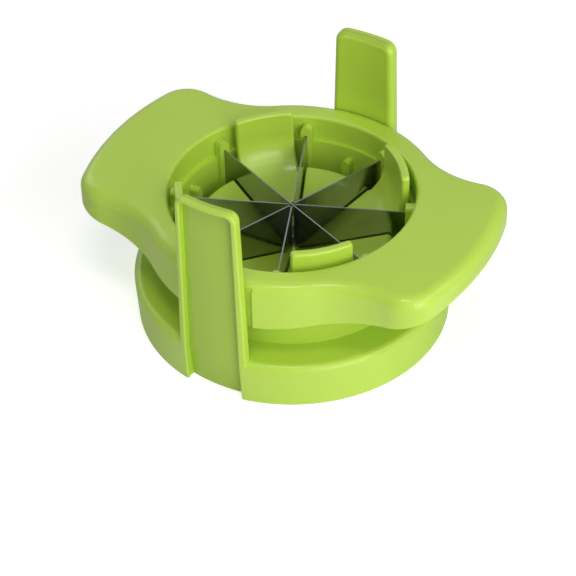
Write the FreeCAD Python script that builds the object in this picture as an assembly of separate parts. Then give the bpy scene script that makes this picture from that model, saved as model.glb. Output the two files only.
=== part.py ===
import FreeCAD, Part
import math
import os

# Citrus wedger: a round base with two guide posts and a slotted cup of
# pushers, and a two-handled frame that carries four crossed blades.
# Millimetres. +Z is up, +X runs along the wings, the posts stand on Y.
# The origin is the centre of the base's foot.

# Base ring
RIM_RADIUS = 52.6
FOOT_INSET = 0.7
BASE_HEIGHT = 16.2
RIM_ROUND = 2.5
BASE_WALL = 2.6
SEAT_WIDTH = 2.4
SEAT_THICKNESS = 2.5

# Guide posts: channels that open outwards and run down through the rim
POST_TOP = 75.1
POST_DEPTH = 4.3
POST_WEB = 2.0
POST_HALF_FOOT = 12.5
POST_HALF_TOP = 10.6
POST_CORNER = 3.4
POST_OUTER_ROUND = 0.7
POST_INNER_ROUND = 1.8
SIDE_FLANGE = 1.7
SIDE_FLANGE_FOOT = 2.6
TOP_FLANGE = 1.35
FLANGE_LAND = 0.05
RECESS_CORNER = 2.0
MOUTH_ROUND = 0.55
WEB_LEAN = 1.6

# Pusher cup
CUP_FLANGE_THICKNESS = 3.0
CUP_CENTRE_RISE = 4.8
CUP_SLOPE = 17.2
CUP_SKIN = 2.6
CUP_HOLLOW_START = 11.0
PETAL_MARGIN = 6.0
PETAL_ROUND = 1.5
PETAL_WALL = 2.0
FINGER_THICKNESS = 2.8
FINGER_CORNER = 1.3
FINGER_EDGE_ROUND = 0.9
FINGER_COVE = 14.0
FINGER_OVER_FRAME = 4.6
HOOK_WIDTH = 7.0
HOOK_THICKNESS = 1.8
HOOK_BARB = 1.2
HOOK_BARB_HEIGHT = 1.4

# Blades: four crossed strips, lapped at the middle
BLADE_THICKNESS = 0.45
BLADE_HEIGHT = 18.0
BLADE_OVER_BASE = 5.6
BLADE_BEVEL = 1.8
BLADE_EDGE_WIDTH = 0.08
BLADE_LAP_GAP = 0.48
BLADE_GRIP = 1.6
BLADE_COUNT = 4

# Blade ring, seen below the frame as a collar
LEDGE_STEP = 1.4
COLLAR_WALL = 2.4
RIB_DEPTH = 1.8
RIB_WIDTH = 3.8
RIB_OVER_BLADE = 3.2
RIB_FOOT_DROP = 2.4
PEG_DEPTH = 3.2
PEG_WIDTH = 2.9
PEG_TOP_DROP = 6.8
PEG_HEIGHT = 12.0

# Handle frame
FRAME_RISE = 29.3
FRAME_WALL = 2.2
FRAME_ROOF = 2.4
FRAME_EDGE_ROUND = 4.0
LIP_ROUND = 1.1
LIP_DEPTH = 9.0
SKIRT_DEPTH = 17.3
SKIRT_ARCH_RADIUS = 205.0
TOP_ARCH_RADIUS = 1000.0
WING_CORNER_OUT = 4.9
WING_CORNER_Y = 21.9
WING_CORNER_RADIUS = 11.4
WING_NECK_RADIUS = 32.3
WING_END_RADIUS = 88.6
NOTCH_DEPTH = 0.9
NOTCH_WALL = 6.65
NOTCH_SIDE_GAP = 0.4
NOTCH_EDGE_ROUND = 0.5

# Clearances
SEAT_GAP = 0.2
FINGER_GAP = 0.8
FINGER_SIDE_GAP = 2.9
NOTCH_GAP = 0.6
SLOT_GAP = 0.6
BLADE_POCKET_GAP = 0.05
RING_GAP = 0.05
RIB_GAP = 0.2

# Levels
post_foot = 0.0
cup_flange_bottom = BASE_HEIGHT - CUP_FLANGE_THICKNESS
seat_bottom = cup_flange_bottom - SEAT_THICKNESS
cup_centre = BASE_HEIGHT + CUP_CENTRE_RISE
blade_bottom = BASE_HEIGHT + BLADE_OVER_BASE
blade_top = blade_bottom + BLADE_HEIGHT
slot_bottom = blade_bottom - SLOT_GAP
frame_top = BASE_HEIGHT + FRAME_RISE
skirt_bottom = frame_top - SKIRT_DEPTH
ring_top = frame_top - LIP_DEPTH
rib_top = blade_top + RIB_OVER_BLADE
rib_foot = blade_bottom - RIB_FOOT_DROP
peg_top = blade_top - PEG_TOP_DROP
finger_top = frame_top + FINGER_OVER_FRAME
rim_side_top = BASE_HEIGHT - RIM_ROUND

# Radii and widths, from the rim inwards
foot_radius = RIM_RADIUS - FOOT_INSET
recess_ceiling = POST_TOP - TOP_FLANGE
recess_half_top = POST_HALF_TOP - SIDE_FLANGE
recess_half_foot = POST_HALF_FOOT - SIDE_FLANGE_FOOT
mouth_round = min(MOUTH_ROUND, TOP_FLANGE - POST_OUTER_ROUND - FLANGE_LAND)
post_inner = RIM_RADIUS - POST_DEPTH
web_outer = post_inner + POST_WEB
notch_floor = post_inner - NOTCH_GAP
ring_radius = notch_floor + NOTCH_DEPTH
bore_radius = notch_floor - NOTCH_WALL
collar_outer = bore_radius - RING_GAP
collar_inner = collar_outer - COLLAR_WALL
opening_radius = collar_inner + LEDGE_STEP
rib_front = collar_inner - RIB_DEPTH
peg_front = collar_inner - PEG_DEPTH
blade_reach = rib_front + BLADE_GRIP
finger_outer = collar_inner - FINGER_GAP
finger_inner = finger_outer - FINGER_THICKNESS
petal_radius = collar_inner - PETAL_MARGIN
cup_flange_radius = (collar_inner + collar_outer) / 2 - SEAT_GAP
seat_radius = cup_flange_radius + SEAT_GAP
seat_inner = seat_radius - SEAT_WIDTH
wing_corner_x = ring_radius + WING_CORNER_OUT

# Angles
POST_ANGLES = (90, 270)
blade_step = 180.0 / BLADE_COUNT
first_blade = blade_step / 2
slot_half = BLADE_THICKNESS / 2 + SLOT_GAP
rib_reach = math.asin((RIB_WIDTH / 2 + FINGER_SIDE_GAP) / finger_outer)
finger_half = finger_outer * math.sin(math.radians(first_blade) - rib_reach)
slope = math.tan(math.radians(CUP_SLOPE))

UP = FreeCAD.Vector(0, 0, 1)
ORIGIN = FreeCAD.Vector(0, 0, 0)
FAR = 4 * RIM_RADIUS


def point(radius, height):
    """A point in the XZ plane."""
    return FreeCAD.Vector(radius, 0, height)


def plan(x, y):
    """A point in the ground plane."""
    return FreeCAD.Vector(x, y, 0)


def arc(start, middle, end):
    return Part.Arc(start, middle, end).toShape()


def turned(shape, degrees):
    """A copy of the shape turned about the Z axis."""
    copy = shape.copy()
    copy.rotate(ORIGIN, UP, degrees)
    return copy


def ring(inner, outer, bottom, top):
    """A plain tube, or a disc when inner is zero."""
    body = Part.makeCylinder(outer, top - bottom, point(0, bottom))
    if inner > 0:
        body = body.cut(Part.makeCylinder(inner, top - bottom, point(0, bottom)))
    return body


def block(x_low, x_high, half_width, bottom, top):
    """A box that is centred on the X axis."""
    corner = FreeCAD.Vector(x_low, -half_width, bottom)
    return Part.makeBox(x_high - x_low, 2 * half_width, top - bottom, corner)


def revolved(edges):
    """The solid of revolution of a closed outline in the XZ plane."""
    face = Part.Face(Part.Wire(Part.sortEdges(edges)[0]))
    return face.revolve(ORIGIN, UP, 360)


def closed_outline(points):
    """Straight edges through the points and back to the first."""
    return Part.makePolygon(points + [points[0]]).Edges


def panel(distance, foot_half, top_half, bottom, top, corner):
    """An upright outline at x = distance with its two upper corners rounded."""
    side = plan(foot_half - top_half, bottom - top).normalize()
    inwards = plan(-1, 0)
    half_turn = side.getAngle(inwards) / 2
    towards_centre = (side + inwards).normalize()
    tip = plan(top_half, top)
    start = tip + side * (corner / math.tan(half_turn))
    end = tip + inwards * (corner / math.tan(half_turn))
    middle = tip + towards_centre * (corner / math.sin(half_turn) - corner)
    half = [plan(foot_half, bottom), start, middle, end]
    foot_right, start_right, middle_right, end_right = [FreeCAD.Vector(distance, p.x, p.y) for p in half]
    foot_left, start_left, middle_left, end_left = [FreeCAD.Vector(distance, -p.x, p.y) for p in half]
    return Part.Wire([
        Part.makeLine(foot_left, foot_right),
        Part.makeLine(foot_right, start_right),
        arc(start_right, middle_right, end_right),
        Part.makeLine(end_right, end_left),
        arc(end_left, middle_left, start_left),
        Part.makeLine(start_left, foot_left),
    ])


def on_circle(centre, radius, degrees):
    """A point in the XZ plane on a circle about centre = (radius, height)."""
    turn = math.radians(degrees)
    return point(centre[0] + radius * math.cos(turn), centre[1] + radius * math.sin(turn))


def arch(radius, level):
    """A wide cylinder along Y whose lowest line is at the given level."""
    start = FreeCAD.Vector(0, -FAR, level + radius)
    return Part.makeCylinder(radius, 2 * FAR, start, FreeCAD.Vector(0, 1, 0))


# Base body: the ring with both posts

def base_ring():
    """The rim's hollow ring, with a stepped seat for the cup."""
    half = math.sqrt(0.5) * RIM_ROUND
    foot = point(foot_radius, post_foot)
    side = point(RIM_RADIUS, rim_side_top)
    middle = point(RIM_RADIUS - RIM_ROUND + half, rim_side_top + half)
    top = point(RIM_RADIUS - RIM_ROUND, BASE_HEIGHT)
    inside = [
        top,
        point(seat_radius, BASE_HEIGHT),
        point(seat_radius, cup_flange_bottom),
        point(seat_inner, cup_flange_bottom),
        point(seat_inner, seat_bottom),
        point(seat_radius + BASE_WALL, seat_bottom),
        point(seat_radius + BASE_WALL, BASE_HEIGHT - BASE_WALL),
        point(RIM_RADIUS - BASE_WALL - FOOT_INSET, BASE_HEIGHT - BASE_WALL),
        point(foot_radius - BASE_WALL, post_foot),
        foot,
    ]
    edges = Part.makePolygon(inside).Edges
    edges.append(Part.makeLine(foot, side))
    edges.append(arc(side, middle, top))
    return revolved(edges)


def leaning_half(level, foot_half, top_half):
    """A half width at a level, between its values at the post's foot and top."""
    share = (level - post_foot) / (POST_TOP - post_foot)
    return foot_half + share * (top_half - foot_half)


def post_half(level):
    """Half the post's width: its sides lean inwards from foot to top."""
    return leaning_half(level, POST_HALF_FOOT, POST_HALF_TOP)


def recess_half(level):
    """Half the channel's width, which narrows upwards as the post does."""
    return leaning_half(level, recess_half_foot, recess_half_top)


def post_edges(shape, inner, outer):
    """The sides and top of the post's face that lies between two radii."""
    found = []
    for edge in shape.Edges:
        box = edge.BoundBox
        is_radial = box.XLength > POST_DEPTH / 2
        if box.ZMax > BASE_HEIGHT and inner < box.XMax < outer and not is_radial:
            found.append(edge)
    return found


def post_block():
    """One post as a full block, before its recess, on +X."""
    outline = panel(0, POST_HALF_FOOT, POST_HALF_TOP, post_foot, POST_TOP, POST_CORNER)
    prism = Part.Face(outline).extrude(FreeCAD.Vector(FAR, 0, 0))
    in_rim = revolved(closed_outline([
        point(post_inner - WEB_LEAN, post_foot),
        point(foot_radius, post_foot),
        point(RIM_RADIUS, rim_side_top),
        point(post_inner, rim_side_top),
    ]))
    over_rim = prism.common(ring(post_inner, RIM_RADIUS, rim_side_top, POST_TOP))
    over_rim = over_rim.makeFillet(POST_OUTER_ROUND, post_edges(over_rim, web_outer, FAR))
    over_rim = over_rim.makeFillet(POST_INNER_ROUND, post_edges(over_rim, 0, web_outer - POST_WEB / 2))
    return over_rim.fuse(prism.common(in_rim))


def post_recess():
    """What the channel leaves open, outside the web, on +X. The web leans inwards in the rim."""
    below = post_foot - BASE_HEIGHT
    outline = panel(0, recess_half(below), recess_half(recess_ceiling), below, recess_ceiling, RECESS_CORNER)
    prism = Part.Face(outline).extrude(FreeCAD.Vector(FAR, 0, 0))
    lean = WEB_LEAN / (rim_side_top - post_foot)
    inside = revolved(closed_outline([
        point(0, below),
        point(web_outer - lean * (rim_side_top - below), below),
        point(web_outer, rim_side_top),
        point(web_outer, POST_TOP),
        point(0, POST_TOP),
    ]))
    return prism.cut(inside)


def is_mouth(edge):
    """An edge where the channel opens through the outer side."""
    low, high = edge.ParameterRange
    for share in (0.25, 0.75):
        spot = edge.valueAt(low + share * (high - low))
        aside = abs(spot.x) - recess_half(spot.z)
        above = spot.z - recess_ceiling
        is_side = abs(aside) < SIDE_FLANGE / 4 and post_foot + TOP_FLANGE < spot.z < recess_ceiling
        is_top = -RECESS_CORNER < above < TOP_FLANGE / 4 and aside < SIDE_FLANGE / 4
        if math.hypot(spot.x, spot.y) < foot_radius or not (is_side or is_top):
            return False
    return True


def base_body():
    body = base_ring()
    post = post_block()
    recess = post_recess()
    web = post.cut(recess)
    for angle in POST_ANGLES:
        body = body.fuse(turned(post, angle))
    for angle in POST_ANGLES:
        body = body.cut(turned(recess, angle)).fuse(turned(web, angle))
    body = body.removeSplitter()
    return body.makeFillet(mouth_round, [edge for edge in body.Edges if is_mouth(edge)])


# Pusher cup: eight petals, every second one with a tall curved finger

def cone_height(radius):
    return cup_centre + radius * slope


def low_petals():
    """The cup's dished floor before the slots, as a revolved cone."""
    rim = petal_radius
    edge_height = cone_height(rim - PETAL_ROUND)
    edges = Part.makePolygon([
        point(rim, edge_height - PETAL_ROUND),
        point(rim, cup_flange_bottom),
        point(0, cup_flange_bottom),
        point(0, cup_centre),
        point(rim - PETAL_ROUND, edge_height),
    ]).Edges
    bend = math.sqrt(0.5) * PETAL_ROUND
    middle = point(rim - PETAL_ROUND + bend, edge_height - PETAL_ROUND + bend)
    edges.append(arc(edges[-1].Vertexes[1].Point, middle, edges[0].Vertexes[0].Point))
    return revolved(edges)


def finger_profile():
    """A revolved wall whose inner face runs in a cove out of the cone."""
    centre_radius = finger_inner - FINGER_COVE
    lift = FINGER_COVE / math.cos(math.radians(CUP_SLOPE))
    centre = (centre_radius, cone_height(centre_radius) + lift)
    cove_start = on_circle(centre, FINGER_COVE, CUP_SLOPE - 90)
    cove_middle = on_circle(centre, FINGER_COVE, (CUP_SLOPE - 90) / 2)
    cove_end = on_circle(centre, FINGER_COVE, 0)
    back = cove_start.x - FINGER_COVE
    edges = Part.makePolygon([
        cove_end,
        point(finger_inner, finger_top),
        point(finger_outer, finger_top),
        point(finger_outer, cup_flange_bottom),
        point(back, cup_flange_bottom),
        point(back, cone_height(back)),
        cove_start,
    ]).Edges
    edges.append(arc(cove_start, cove_middle, cove_end))
    return revolved(edges)


def is_finger_rim(edge):
    """An edge round the finger's inner or outer face, at its sides or top."""
    box = edge.BoundBox
    middle = edge.CenterOfMass
    is_upright_face = box.XMin > finger_inner - FINGER_THICKNESS and box.XLength < FINGER_THICKNESS / 2
    return is_upright_face and (abs(middle.y) > finger_half / 2 or middle.z > finger_top - FINGER_CORNER)


def finger():
    """One tall finger on +X, with soft edges."""
    start = finger_inner / 2
    outline = panel(start, finger_half, finger_half, cup_flange_bottom, finger_top, FINGER_CORNER)
    prism = Part.Face(outline).extrude(FreeCAD.Vector(FAR, 0, 0))
    solid = finger_profile().common(prism)
    return solid.makeFillet(FINGER_EDGE_ROUND, [e for e in solid.Edges if is_finger_rim(e)])


def petal_pocket():
    """The hollow under one petal on +X, with walls beside its slots."""
    half_angle = math.radians(blade_step / 2)
    side = slot_half + PETAL_WALL
    tip = side / math.sin(half_angle)
    reach = petal_radius / math.cos(half_angle)
    spread = (reach - tip) * math.tan(half_angle)
    corners = [plan(tip, 0), plan(reach, -spread), plan(reach, spread)]
    prism = Part.Face(Part.Wire(closed_outline(corners))).extrude(UP * FAR)
    outer = petal_radius - PETAL_WALL
    roof = closed_outline([
        point(CUP_HOLLOW_START, 0),
        point(outer, 0),
        point(outer, cone_height(outer) - CUP_SKIN),
        point(CUP_HOLLOW_START, cone_height(CUP_HOLLOW_START) - CUP_SKIN),
    ])
    return prism.common(revolved(roof))


def snap_hook():
    """One hook on +X that clips under the seat."""
    outer = seat_inner - SEAT_GAP
    inner = outer - HOOK_THICKNESS
    barb_top = seat_bottom - SEAT_GAP
    barb_bottom = barb_top - HOOK_BARB_HEIGHT
    outline = closed_outline([
        point(inner, cup_flange_bottom),
        point(inner, barb_bottom),
        point(outer, barb_bottom),
        point(outer + HOOK_BARB, barb_top),
        point(outer, barb_top),
        point(outer, cup_flange_bottom),
    ])
    return revolved(outline).common(block(0, FAR, HOOK_WIDTH / 2, 0, BASE_HEIGHT))


def pusher_cup():
    body = low_petals().fuse(ring(0, cup_flange_radius, cup_flange_bottom, BASE_HEIGHT))
    tall = finger()
    for index in range(BLADE_COUNT):
        body = body.fuse(turned(tall, blade_step + index * 2 * blade_step))
    for index in range(BLADE_COUNT):
        slot = block(-FAR, FAR, slot_half, slot_bottom, FAR)
        body = body.cut(turned(slot, first_blade + index * blade_step))
    pocket = petal_pocket()
    for index in range(2 * BLADE_COUNT):
        body = body.cut(turned(pocket, index * blade_step))
    hook = snap_hook()
    for index in range(BLADE_COUNT):
        body = body.fuse(turned(hook, index * 2 * blade_step))
    return body.removeSplitter()


# Blade ring: the collar with eight slotted ribs and four pegs

def upright(front, back, width, bottom, top):
    """A radial rib on +X with a half-round top."""
    crown = top - width / 2
    half = width / 2
    edges = Part.makePolygon([
        FreeCAD.Vector(front, half, crown),
        FreeCAD.Vector(front, half, bottom),
        FreeCAD.Vector(front, -half, bottom),
        FreeCAD.Vector(front, -half, crown),
    ]).Edges
    edges.append(arc(edges[2].Vertexes[1].Point, FreeCAD.Vector(front, 0, top), edges[0].Vertexes[0].Point))
    face = Part.Face(Part.Wire(Part.sortEdges(edges)[0]))
    return face.extrude(FreeCAD.Vector(back - front, 0, 0))


def blade_ring():
    collar = ring(collar_inner, collar_outer, BASE_HEIGHT, ring_top)
    rib_limit = ring(0, opening_radius - RIB_GAP, BASE_HEIGHT, 2 * rib_top)
    rib = upright(rib_front, collar_outer, RIB_WIDTH, rib_foot, rib_top).common(rib_limit)
    peg = upright(peg_front, collar_inner + LEDGE_STEP / 2, PEG_WIDTH, peg_top - PEG_HEIGHT, peg_top)
    gap = BLADE_POCKET_GAP
    pocket_half = BLADE_THICKNESS / 2 + gap
    pocket = block(0, blade_reach + gap, pocket_half, blade_bottom - gap, blade_top + gap)
    for index in range(2 * BLADE_COUNT):
        collar = collar.fuse(turned(rib, first_blade + index * blade_step))
    for index in range(BLADE_COUNT):
        collar = collar.fuse(turned(peg, index * 2 * blade_step))
    for index in range(2 * BLADE_COUNT):
        collar = collar.cut(turned(pocket, first_blade + index * blade_step))
    return collar.removeSplitter()


# Blades

def blade_strip(level):
    """One strip along X; level 0 keeps the lowest band at the crossing."""
    half = BLADE_THICKNESS / 2
    tip = BLADE_EDGE_WIDTH / 2
    shoulder = blade_bottom + BLADE_BEVEL
    section = [(-half, blade_top), (half, blade_top), (half, shoulder),
               (tip, blade_bottom), (-tip, blade_bottom), (-half, shoulder)]
    wire = Part.Wire(closed_outline([FreeCAD.Vector(-blade_reach, y, z) for y, z in section]))
    strip = Part.Face(wire).extrude(FreeCAD.Vector(2 * blade_reach, 0, 0))
    crossing = math.radians(blade_step)
    lap_half = half / math.sin(crossing) + half / math.tan(crossing) + BLADE_LAP_GAP
    band = BLADE_HEIGHT / BLADE_COUNT
    band_bottom = blade_bottom + level * band
    if level > 0:
        strip = strip.cut(block(-lap_half, lap_half, BLADE_THICKNESS, 0, band_bottom))
    if level < BLADE_COUNT - 1:
        strip = strip.cut(block(-lap_half, lap_half, BLADE_THICKNESS, band_bottom + band, FAR))
    return strip


# Handle frame: a skirted shell with a wing on each side

def wing_outline():
    """Ring, neck, corner and end arcs, each tangent to the next."""
    corner = plan(wing_corner_x, WING_CORNER_Y)
    to_neck = ring_radius + WING_NECK_RADIUS
    to_corner = WING_CORNER_RADIUS + WING_NECK_RADIUS
    along = (to_neck ** 2 - to_corner ** 2 + corner.Length ** 2) / (2 * corner.Length)
    aside = math.sqrt(to_neck ** 2 - along ** 2)
    unit = corner / corner.Length
    neck = unit * along + plan(-unit.y, unit.x) * aside
    end_offset = math.sqrt((WING_END_RADIUS - WING_CORNER_RADIUS) ** 2 - WING_CORNER_Y ** 2)
    end_centre = plan(wing_corner_x - end_offset, 0)
    ring_touch = neck * (ring_radius / to_neck)
    corner_touch = corner + (neck - corner) * (WING_CORNER_RADIUS / to_corner)
    outwards = (corner - end_centre).normalize()
    end_touch = corner + outwards * WING_CORNER_RADIUS
    neck_middle = neck + ((ring_touch + corner_touch) / 2 - neck).normalize() * WING_NECK_RADIUS
    corner_middle = corner + ((corner_touch + end_touch) / 2 - corner).normalize() * WING_CORNER_RADIUS
    end_middle = end_centre + plan(WING_END_RADIUS, 0)
    edges = []
    for sx, sy in ((1, 1), (1, -1), (-1, 1), (-1, -1)):
        flip = [plan(p.x * sx, p.y * sy) for p in
                (ring_touch, neck_middle, corner_touch, corner_middle, end_touch)]
        edges.append(arc(flip[0], flip[1], flip[2]))
        edges.append(arc(flip[2], flip[3], flip[4]))
    for side in (1, -1):
        mirror_x = plan(ring_touch.x, ring_touch.y * side)
        edges.append(arc(mirror_x, plan(0, ring_radius * side), plan(-mirror_x.x, mirror_x.y)))
        end_low = plan(end_touch.x * side, -end_touch.y)
        edges.append(arc(end_low, plan(end_middle.x * side, 0), plan(end_low.x, -end_low.y)))
    return Part.Wire(Part.sortEdges(edges)[0])


def post_notch(side_gap, floor):
    """The space that the post on +X needs in the frame."""
    half = post_half(skirt_bottom) + side_gap
    return block(floor / 2, FAR, half, 0, FAR).cut(ring(0, floor, 0, FAR))


def top_edges(shape, inner, outer):
    """The edges round the top whose ends lie between two radii."""
    found = []
    for edge in shape.Edges:
        reach = [math.hypot(v.X, v.Y) for v in edge.Vertexes]
        if edge.BoundBox.ZMin > ring_top and min(reach) > inner and max(reach) < outer:
            found.append(edge)
    return found


def frame_shell():
    """The outer form with its soft edges, solid under the roof."""
    blank = Part.Face(wing_outline()).extrude(UP * 2 * frame_top)
    blank = blank.cut(arch(TOP_ARCH_RADIUS, frame_top))
    blank = blank.cut(ring(0, opening_radius, 0, FAR))
    lip_limit = opening_radius + LIP_ROUND
    blank = blank.makeFillet(FRAME_EDGE_ROUND, top_edges(blank, lip_limit, FAR))
    blank = blank.makeFillet(LIP_ROUND, top_edges(blank, 0, lip_limit))
    return blank.common(arch(SKIRT_ARCH_RADIUS, skirt_bottom))


def frame_hollow():
    """The space under the roof between the skirt and the bore's wall."""
    inset = wing_outline().makeOffset2D(-FRAME_WALL)
    space = Part.Face(inset).extrude(UP * 2 * frame_top)
    space = space.cut(arch(TOP_ARCH_RADIUS, frame_top - FRAME_ROOF))
    space = space.cut(ring(0, bore_radius + FRAME_WALL, 0, FAR))
    guard = post_notch(NOTCH_SIDE_GAP + FRAME_WALL, opening_radius)
    for angle in POST_ANGLES:
        space = space.cut(turned(guard, angle))
    return space


def is_notch_corner(edge):
    """An upright edge where a notch meets the ring's outer face."""
    box = edge.BoundBox
    middle = edge.CenterOfMass
    is_upright = box.ZLength > box.XLength + box.YLength
    is_outside = math.hypot(middle.x, middle.y) > (notch_floor + ring_radius) / 2
    return is_upright and is_outside and abs(middle.x) < ring_radius / 2


def handle_frame():
    body = frame_shell().cut(frame_hollow())
    body = body.cut(ring(0, bore_radius, 0, ring_top))
    notch = post_notch(NOTCH_SIDE_GAP, notch_floor)
    for angle in POST_ANGLES:
        body = body.cut(turned(notch, angle))
    corners = [e for e in body.Edges if is_notch_corner(e)]
    return body.makeFillet(NOTCH_EDGE_ROUND, corners)


def main():
    os.makedirs("parts", exist_ok=True)
    nodes = {
        "base_body": base_body(),
        "pusher_cup": pusher_cup(),
        "blade_ring": blade_ring(),
        "handle_frame": handle_frame(),
    }
    for level in range(BLADE_COUNT):
        strip = blade_strip(level)
        nodes["blade_strip_%d" % (level + 1)] = turned(strip, first_blade + level * blade_step)
    for name, shape in nodes.items():
        shape.exportStep("parts/%s.step" % name)


main()
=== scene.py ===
import math

import bpy
from mathutils import Matrix, Vector

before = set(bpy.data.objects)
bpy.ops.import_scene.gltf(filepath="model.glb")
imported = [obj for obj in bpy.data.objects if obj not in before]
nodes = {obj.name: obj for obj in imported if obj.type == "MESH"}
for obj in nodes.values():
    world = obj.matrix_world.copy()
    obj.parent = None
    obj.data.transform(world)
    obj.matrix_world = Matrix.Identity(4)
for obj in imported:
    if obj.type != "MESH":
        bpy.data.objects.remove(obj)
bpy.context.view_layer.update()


# Base body. One injection moulding in lime green plastic: the round rim with its two guide
# posts. The rim and the posts come out of a polished mould, and the panel inside each post's
# channel out of a sparked one, so it is duller; that panel is also painted a little darker.

LIME = (0.442, 0.645, 0.053, 1.0)
CLOUD_SCALE = 28.0
SCUFF_SCALE = 150.0
PEEL_SCALE = 420.0
GRAIN_SCALE = 1900.0
PIT_SCALE = 3200.0
GRAIN_SHARE = 0.12
SCUFF_DULLING = 0.12
SPARK_DULLING = 0.28
CHANNEL_PANEL_DARKENING = 0.15
MOTTLE = (-0.025, 0.035)


def new_group(name, inputs, outputs):
    """An empty shader node group with float or colour sockets."""
    tree = bpy.data.node_groups.new(name, "ShaderNodeTree")
    for label, default in inputs:
        kind = "NodeSocketColor" if isinstance(default, tuple) else "NodeSocketFloat"
        socket = tree.interface.new_socket(label, in_out="INPUT", socket_type=kind)
        socket.default_value = default
    for label, kind in outputs:
        tree.interface.new_socket(label, in_out="OUTPUT", socket_type=kind)
    return tree, tree.nodes.new("NodeGroupInput"), tree.nodes.new("NodeGroupOutput")


def add_math(tree, operation, first, second=None, clamp=False):
    """A math node whose inputs are numbers or sockets."""
    node = tree.nodes.new("ShaderNodeMath")
    node.operation = operation
    node.use_clamp = clamp
    for index, value in enumerate((first, second)):
        if value is None:
            continue
        if isinstance(value, (int, float)):
            node.inputs[index].default_value = value
        else:
            tree.links.new(value, node.inputs[index])
    return node.outputs[0]


def add_noise(tree, vector, scale, detail, roughness=0.5):
    """A noise texture read at the given coordinates."""
    node = tree.nodes.new("ShaderNodeTexNoise")
    node.inputs["Scale"].default_value = scale
    node.inputs["Detail"].default_value = detail
    node.inputs["Roughness"].default_value = roughness
    tree.links.new(vector, node.inputs["Vector"])
    return node.outputs["Fac"]


def add_range(tree, value, low, high, new_low, new_high):
    """A value moved from one range to another, and kept inside it."""
    node = tree.nodes.new("ShaderNodeMapRange")
    node.inputs["From Min"].default_value = low
    node.inputs["From Max"].default_value = high
    node.inputs["To Min"].default_value = new_low
    node.inputs["To Max"].default_value = new_high
    tree.links.new(value, node.inputs["Value"])
    return node.outputs["Result"]


def moulded_surface_group():
    """Flow clouds, fine peel, scuffs and a sparked grain, with a roughness that varies with them."""
    tree, group_in, group_out = new_group(
        "moulded_surface",
        [("Colour", LIME), ("Roughness", 0.3), ("Clouding", 0.05),
         ("Peel", 1.0), ("Scuffs", 0.5), ("Channel panel", 0.0)],
        [("Colour", "NodeSocketColor"), ("Roughness", "NodeSocketFloat"), ("Height", "NodeSocketFloat")],
    )
    place = tree.nodes.new("ShaderNodeTexCoord").outputs["Object"]
    clouds = add_noise(tree, place, CLOUD_SCALE, 3.0)
    grain = add_noise(tree, place, GRAIN_SCALE, 2.0)
    peel = add_noise(tree, place, PEEL_SCALE, 2.0)
    scuff_noise = add_noise(tree, place, SCUFF_SCALE, 6.0, 0.75)
    pits = add_noise(tree, place, PIT_SCALE, 1.0)
    channel_panel = group_in.outputs["Channel panel"]

    shade = add_range(tree, clouds, 0.3, 0.7, -1.0, 1.0)
    value = add_math(tree, "MULTIPLY_ADD", shade, group_in.outputs["Clouding"])
    value.node.inputs[2].default_value = 1.0
    # The panels inside the posts' channels are painted darker here.
    darker = add_math(tree, "MULTIPLY", channel_panel, CHANNEL_PANEL_DARKENING)
    value = add_math(tree, "SUBTRACT", value, darker)
    colour = tree.nodes.new("ShaderNodeHueSaturation")
    tree.links.new(group_in.outputs["Colour"], colour.inputs["Color"])
    tree.links.new(value, colour.inputs["Value"])

    scuffs = add_range(tree, scuff_noise, 0.56, 0.72, 0.0, 1.0)
    scuffs = add_math(tree, "MULTIPLY", scuffs, group_in.outputs["Scuffs"])
    duller = add_math(tree, "MULTIPLY", scuffs, SCUFF_DULLING)
    mottled = add_range(tree, clouds, 0.3, 0.7, *MOTTLE)
    rough = add_math(tree, "ADD", group_in.outputs["Roughness"], duller)
    rough = add_math(tree, "ADD", rough, mottled)
    matt = add_math(tree, "MULTIPLY", channel_panel, SPARK_DULLING)
    rough = add_math(tree, "ADD", rough, matt, clamp=True)

    height = add_math(tree, "MULTIPLY", peel, group_in.outputs["Peel"])
    fine = add_math(tree, "MULTIPLY", grain, GRAIN_SHARE)
    height = add_math(tree, "ADD", height, fine)
    pitted = add_math(tree, "MULTIPLY", pits, channel_panel)
    height = add_math(tree, "ADD", height, pitted)

    tree.links.new(colour.outputs["Color"], group_out.inputs["Colour"])
    tree.links.new(rough, group_out.inputs["Roughness"])
    tree.links.new(height, group_out.inputs["Height"])
    return tree


moulded_surface = moulded_surface_group()

PLASTIC_IOR = 1.49
GLOSS = 0.45
SKIN_WEIGHT = 0.35
SKIN_ROUGHNESS = 0.13
RELIEF_STRENGTH = 0.05
RELIEF_DEPTH = 0.0002


def plastic(name, colour, roughness, clouding, peel, scuffs):
    """Lime green plastic out of a polished mould: a soft gloss under a thin, sharper skin."""
    material = bpy.data.materials.new(name)
    material.use_nodes = True
    tree = material.node_tree
    shader = tree.nodes["Principled BSDF"]
    shader.inputs["IOR"].default_value = PLASTIC_IOR
    shader.inputs["Specular IOR Level"].default_value = GLOSS
    shader.inputs["Coat Weight"].default_value = SKIN_WEIGHT
    shader.inputs["Coat Roughness"].default_value = SKIN_ROUGHNESS
    surface = tree.nodes.new("ShaderNodeGroup")
    surface.name = "surface"
    surface.node_tree = moulded_surface
    surface.inputs["Colour"].default_value = colour
    surface.inputs["Roughness"].default_value = roughness
    surface.inputs["Clouding"].default_value = clouding
    surface.inputs["Peel"].default_value = peel
    surface.inputs["Scuffs"].default_value = scuffs
    bump = tree.nodes.new("ShaderNodeBump")
    bump.inputs["Strength"].default_value = RELIEF_STRENGTH
    bump.inputs["Distance"].default_value = RELIEF_DEPTH
    tree.links.new(surface.outputs["Colour"], shader.inputs["Base Color"])
    tree.links.new(surface.outputs["Roughness"], shader.inputs["Roughness"])
    tree.links.new(surface.outputs["Height"], bump.inputs["Height"])
    tree.links.new(bump.outputs["Normal"], shader.inputs["Normal"])
    return material


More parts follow.
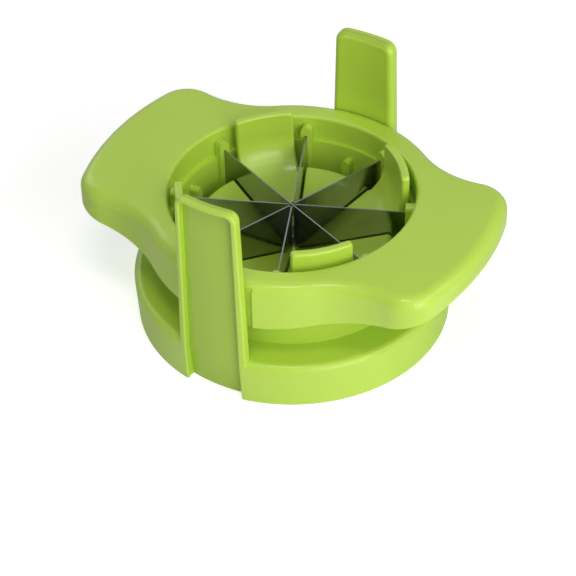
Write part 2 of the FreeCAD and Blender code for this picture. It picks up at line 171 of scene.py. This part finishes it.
def dress(node_name, material):
    """The CAD piece keeps its shape and gets its own finish."""
    mesh = nodes[node_name].data
    mesh.materials.clear()
    mesh.materials.append(material)


PANEL_HALF_FOOT = 0.0098
PANEL_TAPER = 0.01333
PANEL_INSIDE = 0.0485
PANEL_OUTSIDE = 0.0508
PANEL_EDGE = 0.0001


def spark_and_darken_channel_panels(material):
    """Sparked grain on the panels inside the two posts' channels, which narrow upwards; these panels are
    also painted darker.
    """
    tree = material.node_tree
    surface = tree.nodes["surface"]
    split = tree.nodes.new("ShaderNodeSeparateXYZ")
    tree.links.new(tree.nodes.new("ShaderNodeTexCoord").outputs["Object"], split.inputs["Vector"])
    aside = add_math(tree, "ABSOLUTE", split.outputs["X"])
    aside = add_math(tree, "ADD", aside, add_math(tree, "MULTIPLY", split.outputs["Z"], PANEL_TAPER))
    level = tree.nodes.new("ShaderNodeCombineXYZ")
    tree.links.new(split.outputs["X"], level.inputs["X"])
    tree.links.new(split.outputs["Y"], level.inputs["Y"])
    length = tree.nodes.new("ShaderNodeVectorMath")
    length.operation = "LENGTH"
    tree.links.new(level.outputs["Vector"], length.inputs[0])
    reach = length.outputs["Value"]
    narrow = add_range(tree, aside, PANEL_HALF_FOOT, PANEL_HALF_FOOT + PANEL_EDGE, 1.0, 0.0)
    outside = add_range(tree, reach, PANEL_INSIDE, PANEL_INSIDE + PANEL_EDGE, 0.0, 1.0)
    inside = add_range(tree, reach, PANEL_OUTSIDE, PANEL_OUTSIDE + PANEL_EDGE, 1.0, 0.0)
    mask = add_math(tree, "MULTIPLY", add_math(tree, "MULTIPLY", narrow, outside), inside)
    tree.links.new(mask, surface.inputs["Channel panel"])


base_plastic = plastic("base_plastic", LIME, 0.50, 0.025, 1.0, 0.25)
spark_and_darken_channel_panels(base_plastic)
dress("base_body", base_plastic)


# Pusher cup. A second moulding in the same plastic, clipped into the base: eight petals
# between the blade slots, every second one with a tall finger that pushes a wedge out.

dress("pusher_cup", plastic("cup_plastic", LIME, 0.50, 0.025, 1.0, 0.3))


# Blade ring. The collar below the winged frame, moulded in the same plastic, with eight
# slotted ribs that hold the strips and four short pegs.

dress("blade_ring", plastic("ring_plastic", LIME, 0.50, 0.025, 1.0, 0.2))


# Blades. Four strips of thin rolled stainless steel that lap at the hub. Their faces are
# bright from the mill, with a faint grain along the strip. The lower edge is ground, and the
# upper one is left as it was sheared, so it is rougher and darker.

STEEL = (0.36, 0.375, 0.37, 1.0)
FIRST_BLADE = 22.5
BLADE_STEP = 45.0
SHEARED_EDGE_LEVEL = 0.0397
SHEARED_EDGE_SPAN = 0.0001
SHEARED_DULLING = 0.2
SHEARED_DARKENING = 0.55
GRAIN_STRETCH = 0.04
STREAK_SCALE = 2600.0
SMEAR_SCALE = 90.0
STEEL_RELIEF_STRENGTH = 0.06
STEEL_RELIEF_DEPTH = 0.0001


def rolled_steel(name, angle):
    """Bright rolled steel whose grain runs along a strip at this angle in plan."""
    material = bpy.data.materials.new(name)
    material.use_nodes = True
    tree = material.node_tree
    shader = tree.nodes["Principled BSDF"]
    shader.inputs["Metallic"].default_value = 1.0
    turn = tree.nodes.new("ShaderNodeMapping")
    turn.inputs["Rotation"].default_value = (0.0, 0.0, math.radians(-angle))
    stretch = tree.nodes.new("ShaderNodeMapping")
    stretch.inputs["Scale"].default_value = (GRAIN_STRETCH, 1.0, 1.0)
    place = tree.nodes.new("ShaderNodeTexCoord").outputs["Object"]
    tree.links.new(place, turn.inputs["Vector"])
    tree.links.new(turn.outputs["Vector"], stretch.inputs["Vector"])
    streaks = add_noise(tree, stretch.outputs["Vector"], STREAK_SCALE, 3.0)
    smears = add_noise(tree, place, SMEAR_SCALE, 4.0)
    fine = add_range(tree, streaks, 0.3, 0.7, -0.04, 0.05)
    broad = add_range(tree, smears, 0.35, 0.7, 0.12, 0.20)
    rough = add_math(tree, "ADD", fine, broad, clamp=True)
    tint = add_range(tree, streaks, 0.3, 0.7, 0.93, 1.04)
    split = tree.nodes.new("ShaderNodeSeparateXYZ")
    tree.links.new(place, split.inputs["Vector"])
    edge_full = SHEARED_EDGE_LEVEL + SHEARED_EDGE_SPAN
    sheared = add_range(tree, split.outputs["Z"], SHEARED_EDGE_LEVEL, edge_full, 0.0, 1.0)
    rough = add_math(tree, "ADD", rough, add_math(tree, "MULTIPLY", sheared, SHEARED_DULLING), clamp=True)
    shade = add_range(tree, sheared, 0.0, 1.0, 1.0, SHEARED_DARKENING)
    tint = add_math(tree, "MULTIPLY", tint, shade)
    colour = tree.nodes.new("ShaderNodeHueSaturation")
    colour.inputs["Color"].default_value = STEEL
    tree.links.new(tint, colour.inputs["Value"])
    bump = tree.nodes.new("ShaderNodeBump")
    bump.inputs["Strength"].default_value = STEEL_RELIEF_STRENGTH
    bump.inputs["Distance"].default_value = STEEL_RELIEF_DEPTH
    tree.links.new(streaks, bump.inputs["Height"])
    tree.links.new(colour.outputs["Color"], shader.inputs["Base Color"])
    tree.links.new(rough, shader.inputs["Roughness"])
    tree.links.new(bump.outputs["Normal"], shader.inputs["Normal"])
    return material


for number in (1, 2, 3, 4):
    strip_angle = FIRST_BLADE + (number - 1) * BLADE_STEP
    dress("blade_strip_%d" % number, rolled_steel("blade_steel_%d" % number, strip_angle))


# Handle frame. The largest moulding: a skirted ring round the opening with a wing on each
# side to push on. Hands keep its top smooth, with light scuffs.

dress("handle_frame", plastic("frame_plastic", LIME, 0.46, 0.02, 0.9, 0.25))


# Floor: a plain white worktop that keeps the soft shadow of the base. For the camera it glows white,
# and whiter far from the base. For reflections it glows too, as a painted reflection: bright in front
# and on the right, towards the lamps, and dim on the other sides.

FLOOR_HALF = 3.0
FLOOR_DROP = 0.0002
FLOOR_SHADE = 0.86
FLOOR_ROUGHNESS = 0.9
WHITE_NEAR = 0.55
WHITE_FAR = 0.95
FADE_STARTS = 0.25
FADE_ENDS = 0.9
BRIGHT_SIDE = math.radians(30.0)
PAINTED_REFLECTION_BRIGHT = 1.0
MIRROR_STARTS = 0.022
MIRROR_FULL = 0.06

quarters = ((-1, -1), (1, -1), (1, 1), (-1, 1))
corners = [(FLOOR_HALF * x, FLOOR_HALF * y, -FLOOR_DROP) for x, y in quarters]
floor_mesh = bpy.data.meshes.new("floor")
floor_mesh.from_pydata(corners, [], [(0, 1, 2, 3)])
floor = bpy.data.objects.new("floor", floor_mesh)
bpy.context.scene.collection.objects.link(floor)
floor_material = bpy.data.materials.new("white_worktop")
floor_material.use_nodes = True
floor_tree = floor_material.node_tree
floor_shader = floor_tree.nodes["Principled BSDF"]
floor_shader.inputs["Base Color"].default_value = (FLOOR_SHADE, FLOOR_SHADE, FLOOR_SHADE, 1.0)
floor_shader.inputs["Roughness"].default_value = FLOOR_ROUGHNESS
floor_shader.inputs["Specular IOR Level"].default_value = 0.0
floor_shader.inputs["Emission Color"].default_value = (1.0, 1.0, 1.0, 1.0)
floor_rays = floor_tree.nodes.new("ShaderNodeLightPath")
floor_place = floor_tree.nodes.new("ShaderNodeTexCoord").outputs["Object"]
floor_reach = floor_tree.nodes.new("ShaderNodeVectorMath")
floor_reach.operation = "LENGTH"
floor_tree.links.new(floor_place, floor_reach.inputs[0])
reach = floor_reach.outputs["Value"]
white = add_range(floor_tree, reach, FADE_STARTS, FADE_ENDS, WHITE_NEAR, WHITE_FAR)
seen = add_math(floor_tree, "MULTIPLY", floor_rays.outputs["Is Camera Ray"], white)
floor_split = floor_tree.nodes.new("ShaderNodeSeparateXYZ")
floor_tree.links.new(floor_place, floor_split.inputs["Vector"])
# Painted reflection: a glow seen only in reflections, rising towards the lamps' side of the floor.
to_right = add_math(floor_tree, "MULTIPLY", floor_split.outputs["X"], math.sin(BRIGHT_SIDE))
to_rear = add_math(floor_tree, "MULTIPLY", floor_split.outputs["Y"], math.cos(BRIGHT_SIDE))
to_lamps = add_math(floor_tree, "SUBTRACT", to_right, to_rear)
painted_reflection_level = add_range(floor_tree, to_lamps, MIRROR_STARTS, MIRROR_FULL, 0.0, PAINTED_REFLECTION_BRIGHT)
painted_floor_reflection = add_math(floor_tree, "MULTIPLY", floor_rays.outputs["Is Glossy Ray"], painted_reflection_level)
floor_glow = add_math(floor_tree, "ADD", seen, painted_floor_reflection)
floor_tree.links.new(floor_glow, floor_shader.inputs["Emission Strength"])
floor_mesh.materials.append(floor_material)


# Light: a pale room, a broad low soft box from the right with two nearer and higher ones beside
# it, a small one from above that draws the highlights, one from behind on the left, and a
# small fill in front.

ROOM_LEVEL = 0.16

world = bpy.data.worlds.new("pale_room")
bpy.context.scene.world = world
world.use_nodes = True
world_tree = world.node_tree
background = world_tree.nodes["Background"]
background.inputs["Color"].default_value = (1.0, 1.0, 1.0, 1.0)
rays = world_tree.nodes.new("ShaderNodeLightPath")
direct = add_math(world_tree, "MAXIMUM", rays.outputs["Is Camera Ray"], rays.outputs["Is Glossy Ray"])
direct = add_math(world_tree, "MAXIMUM", direct, rays.outputs["Is Transmission Ray"])
room = add_range(world_tree, direct, 0.0, 1.0, ROOM_LEVEL, 1.0)
world_tree.links.new(room, background.inputs["Strength"])

LIGHT_TARGET = Vector((0.0, 0.0, 0.03))


def soft_box(name, azimuth, elevation, distance, width, height, level):
    """A rectangular lamp that lights a facing white card to this level."""
    data = bpy.data.lights.new(name, "AREA")
    data.shape = "RECTANGLE"
    data.size = width
    data.size_y = height
    data.energy = level * math.pi ** 2 * distance ** 2
    lamp = bpy.data.objects.new(name, data)
    a = math.radians(azimuth)
    e = math.radians(elevation)
    towards = Vector((math.sin(a) * math.cos(e), -math.cos(a) * math.cos(e), math.sin(e)))
    lamp.location = LIGHT_TARGET + towards * distance
    lamp.rotation_euler = towards.to_track_quat("Z", "Y").to_euler()
    bpy.context.scene.collection.objects.link(lamp)


soft_box("side_box", 60.0, 14.0, 0.9, 0.54, 0.405, 0.39)
soft_box("near_box", 100.0, 36.0, 0.45, 0.27, 0.2025, 0.20)
soft_box("top_box", 20.0, 66.0, 0.45, 0.13, 0.0975, 0.19)
soft_box("edge_box", 60.0, 36.0, 0.45, 0.27, 0.2025, 0.19)
soft_box("rear_box", -110.0, 36.0, 0.9, 0.54, 0.405, 0.20)
soft_box("front_fill", 0.0, 36.0, 0.45, 0.27, 0.2025, 0.05)


# Camera, at the height and side that show both posts, the blades and the front of the rim.

VIEW_AZIMUTH = math.radians(30.613)
VIEW_ELEVATION = math.radians(41.355)
VIEW_ROLL = math.radians(-1.147)
VIEW_DISTANCE = 0.6974
AIM_RIGHT = -0.001948
AIM_UP = 0.002905
LENS = 129.79

away = Vector((math.sin(VIEW_AZIMUTH) * math.cos(VIEW_ELEVATION),
               -math.cos(VIEW_AZIMUTH) * math.cos(VIEW_ELEVATION),
               math.sin(VIEW_ELEVATION)))
level_right = Vector((math.cos(VIEW_AZIMUTH), math.sin(VIEW_AZIMUTH), 0.0))
level_up = away.cross(level_right)
eye = away * VIEW_DISTANCE
aim = level_right * AIM_RIGHT + level_up * AIM_UP
rolled_up = level_up * math.cos(VIEW_ROLL) - level_right * math.sin(VIEW_ROLL)
backward = (eye - aim).normalized()
camera_right = rolled_up.cross(backward).normalized()
camera_up = backward.cross(camera_right)

camera_data = bpy.data.cameras.new("camera")
camera_data.lens = LENS
camera_data.sensor_width = 36.0
camera = bpy.data.objects.new("camera", camera_data)
turn_matrix = Matrix((camera_right, camera_up, backward)).transposed().to_4x4()
camera.matrix_world = Matrix.Translation(eye) @ turn_matrix
bpy.context.scene.collection.objects.link(camera)
bpy.context.scene.camera = camera
bpy.context.scene.view_settings.view_transform = "Standard"
